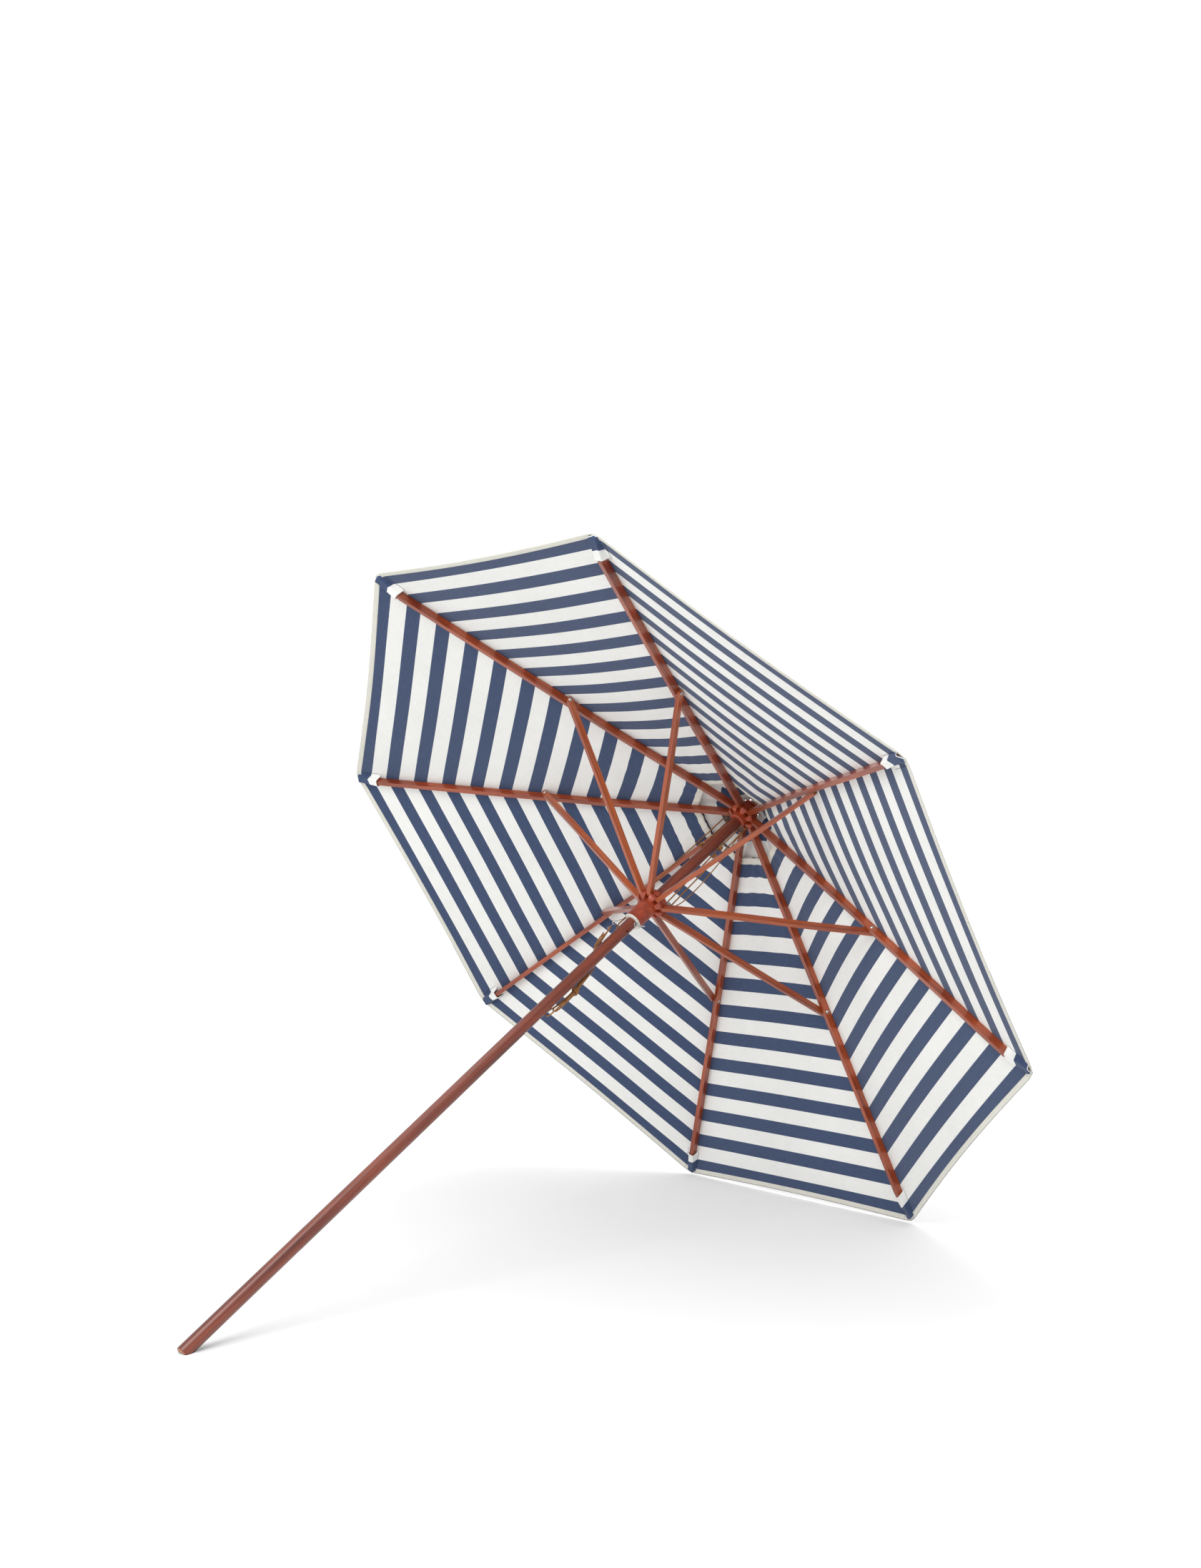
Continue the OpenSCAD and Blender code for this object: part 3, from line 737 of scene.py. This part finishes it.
def cloth_material(name, striped, binding=False):
    """Woven canvas: even plain weave, yarn-to-yarn tone, soft sheen; stripes dyed in the yarn."""
    material, tree, shader = new_material(name)
    place = add(tree, "ShaderNodeUVMap", uv_map="cloth").outputs["UV"]
    split = add(tree, "ShaderNodeSeparateXYZ", {"Vector": place})
    warp = add(tree, "ShaderNodeMath", {0: split.outputs["X"], 1: 2 * math.pi / YARN},
               operation="MULTIPLY").outputs[0]
    weft = add(tree, "ShaderNodeMath", {0: split.outputs["Y"], 1: 2 * math.pi / YARN},
               operation="MULTIPLY").outputs[0]
    over = add(tree, "ShaderNodeMath", {
        0: add(tree, "ShaderNodeMath", {0: warp}, operation="SINE").outputs[0],
        1: add(tree, "ShaderNodeMath", {0: weft}, operation="SINE").outputs[0]},
        operation="MULTIPLY").outputs[0]
    yarns = add(tree, "ShaderNodeTexNoise", {
        "Vector": add(tree, "ShaderNodeMapping", {"Vector": place, "Scale": (30, 700, 1)}).outputs["Vector"],
        "Scale": 1.0, "Detail": 3.0}).outputs["Fac"]
    cloud = add(tree, "ShaderNodeTexNoise", {
        "Vector": add(tree, "ShaderNodeTexCoord").outputs["Object"], "Scale": 5.0, "Detail": 3.0
    }).outputs["Fac"]
    white = ramp(tree, yarns, [(0.3, linear("#EDEEEC" if not binding else "#D9D8CE")),
                               (0.7, linear("#F7F8F7" if not binding else "#E6E5DC"))])
    tone = white
    if striped:
        blue = ramp(tree, yarns, [(0.3, linear("#2F4064")), (0.7, linear("#3F5173"))])
        shifted = add(tree, "ShaderNodeMath", {0: split.outputs["Y"], 1: FIRST_BLUE},
                      operation="SUBTRACT").outputs[0]
        turn = add(tree, "ShaderNodeMath", {0: shifted, 1: PERIOD}, operation="FLOORED_MODULO").outputs[0]
        in_blue = add(tree, "ShaderNodeMath", {0: turn, 1: BLUE_W}, operation="LESS_THAN").outputs[0]
        tone = add(tree, "ShaderNodeMixRGB", {"Fac": in_blue, "Color1": white, "Color2": blue}).outputs[0]
    shade = add(tree, "ShaderNodeMapRange", {"Value": cloud, "From Min": 0.3, "From Max": 0.7,
                                             "To Min": 0.965, "To Max": 1.02}).outputs["Result"]
    tree.links.new(add(tree, "ShaderNodeVectorMath", {0: tone, "Scale": shade}, operation="SCALE").outputs[0],
                   shader.inputs["Base Color"])
    shader.inputs["Roughness"].default_value = 0.9
    shader.inputs["Sheen Weight"].default_value = 0.15
    shader.inputs["Sheen Roughness"].default_value = 0.5
    tree.links.new(bump(tree, yarns, 0.0002, 0.3, bump(tree, over, 0.00015, 0.5)), shader.inputs["Normal"])
    return material


canvas = cloth_material("striped_canvas_blue_white", True)
tape_look = cloth_material("binding_tape_cream", False, binding=True)
# Sewing thread: dark, with a slight lustre against the matt cloth
thread, thread_tree, thread_shader = new_material("sewing_thread_navy")
thread_shader.inputs["Base Color"].default_value = linear("#26324E")
thread_shader.inputs["Roughness"].default_value = 0.7

CLOTH_ROWS = 84
CLOTH_COLS = 26
TAPE_T = CLOTH_T + 0.0018               # a binding wraps the cloth's edge on both sides
TAPE_LIFT = -0.0009


def hang_on_rib(piece, i):
    """The piece moves with rib i and gets a mesh of its own."""
    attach(piece, f"rib_{i}")
    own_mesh(piece)
    return piece


# Each rib's share of the cloth, with its hem binding and vent tape
sewn_on = {}
for i in RIBS:
    share = cloth_piece(f"canopy_cloth_{i}", i, VENT_R, corner_r - 0.001, CLOTH_ROWS, CLOTH_COLS,
                        CLOTH_T, cloth_spot)
    dress(share, canvas)
    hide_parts(f"canopy_{i}")
    hang_on_rib(share, i)
    hem = cloth_piece(f"hem_binding_{i}", i, corner_r - 0.0165, corner_r + 0.0008, 4, CLOTH_COLS,
                      TAPE_T, cloth_spot, TAPE_LIFT)
    vent_tape = cloth_piece(f"vent_tape_{i}", i, VENT_R - 0.0008, VENT_R + 0.021, 4, CLOTH_COLS,
                            TAPE_T, cloth_spot, TAPE_LIFT)
    for strip in (hem, vent_tape):
        dress(strip, tape_look)
        hang_on_rib(strip, i)
    sewn_on[i] = [share, hem, vent_tape]


# ---- Tip pockets ----
# A folded patch of the same cloth, sewn under each corner: the rib's thin end sits in it, and the
# cloth is stretched by it. Stitched along both sides and into the hem binding, open inwards.
POCKET_W = 0.052
POCKET_L = 0.100
RIB_SIDE = -0.00765                     # the rib stands beside the spoke's own line
TIP_BACK = 0.026                        # from a corner to the rib's end
TAPER_L = 0.104                         # from a corner to the rib's full height
TIP_H = 0.008                           # the rib's height at its end
EDGE_SLANT = math.tan(HALF)


def pocket_spot(back, side, spoke):
    """A point of the pocket: back from the corner along the rib, side across it."""
    thin = min(max((back - TIP_BACK) / (TAPER_L - TIP_BACK), 0), 1)
    depth = (TIP_H + (RIB_H - TIP_H) * thin + 0.0048) * ease((back - 0.004) / 0.015)
    off = abs(side - RIB_SIDE)
    swell = 1 - ease((off - 0.0100) / 0.0090)
    flare = 0.0018 * ease((back - POCKET_L + 0.014) / 0.014) * swell
    under = 0.0009 + depth * swell + flare + 0.0005 * math.sin(back * 240 + 9 * spoke) * (1 - swell)
    level = rib_top(corner_r - back + abs(side) * EDGE_SLANT) - under
    along = Vector((math.cos(spoke), math.sin(spoke), 0)) * (corner_r - back)
    return along + Vector((-math.sin(spoke), math.cos(spoke), 0)) * side + Vector((0, 0, level)), \
        (side, (back - abs(side) * EDGE_SLANT) * COS_HALF / math.cos(gore_slope))


pocket_rows = [0.0035 + (POCKET_L - 0.0035) * k / 26 for k in range(27)]
pocket_cols = [RIB_SIDE * 0.5 + POCKET_W / 2 * k / 24 for k in range(-24, 25)]
for i in RIBS:
    def place(back, side, spoke=SECTOR * (i - 1)):
        """The outer rows follow the corner's two hems; the mouth is cut in a shallow curve."""
        open_share = back / POCKET_L
        inward = 0.0045 + abs(side) * EDGE_SLANT
        mouth = 0.006 * (1 - (side / 0.026) ** 2) * open_share ** 3
        return pocket_spot(back + inward * (1 - open_share) - mouth, side, spoke)

    pocket = sheet_mesh(f"tip_pocket_{i}", pocket_cols, pocket_rows, place, 0.0008)
    dress(pocket, canvas)
    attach(pocket, f"rib_{i}")
    share, *extras = sewn_on[i]
    extras.append(pocket)
    # the dark double line of stitches down both sides of the patch
    for side_sign, edge in (("a", pocket_cols[0] + 0.0022), ("b", pocket_cols[-1] - 0.0022)):
        seam = tube(f"pocket_seam_{side_sign}_{i}", [place(b, edge)[0] - Vector((0, 0, 0.0003))
                                                     for b in pocket_rows[1:-1:2]], 0.0011, 6)
        dress(seam, thread)
        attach(seam, f"rib_{i}")
        extras.append(seam)


# ---- Vent cap ----
# A smaller striped canopy over the vent, held under the finial and sewn to the main cloth at the ribs.
def cap_spot(gore, g, rho):
    """A point of the vent cap."""
    return cloth_spot(gore, g, rho, True)


for i in RIBS:
    share = cloth_piece(f"vent_cap_cloth_{i}", i, CAP_IN_R, CAP_R, 26, 18, CLOTH_T, cap_spot)
    dress(share, canvas)
    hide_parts(f"vent_cap_{i}")
    hang_on_rib(share, i)
    trim = cloth_piece(f"cap_binding_{i}", i, CAP_R - 0.018, CAP_R + 0.0006, 3, 18,
                       CLOTH_T + 0.0016, cap_spot, -0.0008)
    dress(trim, tape_look)
    hang_on_rib(trim, i)


# ---- Floor and light ----
floor_size = 9.0
lean = Vector((0.7774, -0.3220, 0.5404)).normalized()
floor_mesh = bpy.data.meshes.new("floor")
floor_mesh.from_pydata([(-floor_size, -floor_size, 0), (floor_size, -floor_size, 0),
                        (floor_size, floor_size, 0), (-floor_size, floor_size, 0)], [], [(0, 1, 2, 3)])
floor = bpy.data.objects.new("floor", floor_mesh)
bpy.context.collection.objects.link(floor)
floor.matrix_world = lean.to_track_quat("Z", "Y").to_matrix().to_4x4()
floor.is_shadow_catcher = True
floor_look, floor_tree, floor_shader = new_material("studio_floor_white")
floor_shader.inputs["Base Color"].default_value = linear("#F4F4F2")
floor_shader.inputs["Roughness"].default_value = 0.9
# from underneath the paper is clear, so that the parasol can be seen from every side
under = add(floor_tree, "ShaderNodeMixShader", {
    "Fac": add(floor_tree, "ShaderNodeNewGeometry").outputs["Backfacing"]}).outputs["Shader"]
clear = add(floor_tree, "ShaderNodeBsdfTransparent").outputs["BSDF"]
floor_tree.links.new(floor_shader.outputs["BSDF"], under.node.inputs[1])
floor_tree.links.new(clear, under.node.inputs[2])
floor_out = next(n for n in floor_tree.nodes if n.type == "OUTPUT_MATERIAL")
floor_tree.links.new(under, floor_out.inputs["Surface"])
dress(floor, floor_look)

bpy.context.scene.view_settings.view_transform = "Standard"
world = bpy.data.worlds.new("studio")
bpy.context.scene.world = world
world.use_nodes = True
room = world.node_tree
sky = room.nodes["Background"]
sky.inputs["Color"].default_value = (0.985, 0.99, 1, 1)
sky.inputs["Strength"].default_value = 0.84
paper = room.nodes.new("ShaderNodeBackground")
paper.inputs["Color"].default_value = (1, 1, 1, 1)
paper.inputs["Strength"].default_value = 1.28
seen = room.nodes.new("ShaderNodeLightPath")
choose = room.nodes.new("ShaderNodeMixShader")
room.links.new(seen.outputs["Is Camera Ray"], choose.inputs["Fac"])
room.links.new(sky.outputs["Background"], choose.inputs[1])
room.links.new(paper.outputs["Background"], choose.inputs[2])
room.links.new(choose.outputs["Shader"], room.nodes["World Output"].inputs["Surface"])


def softbox(name, place, target, size, power, colour="#FFFFFF"):
    """A large soft studio lamp."""
    data = bpy.data.lights.new(name, "AREA")
    data.energy, data.size, data.color = power, size, linear(colour)[:3]
    lamp = bpy.data.objects.new(name, data)
    bpy.context.collection.objects.link(lamp)
    lamp.location = place
    lamp.rotation_mode = "QUATERNION"
    lamp.rotation_quaternion = (Vector(target) - Vector(place)).to_track_quat("-Z", "Y")
    return lamp


middle = Vector((0, 0, 1.6))
softbox("key", middle + 2.6 * lean - 1.6 * RIGHT - 2.6 * AHEAD, middle, 2.6, 80, "#FFFCF7")
softbox("top", middle + 4.0 * lean + 0.4 * AHEAD, middle, 3.4, 60)
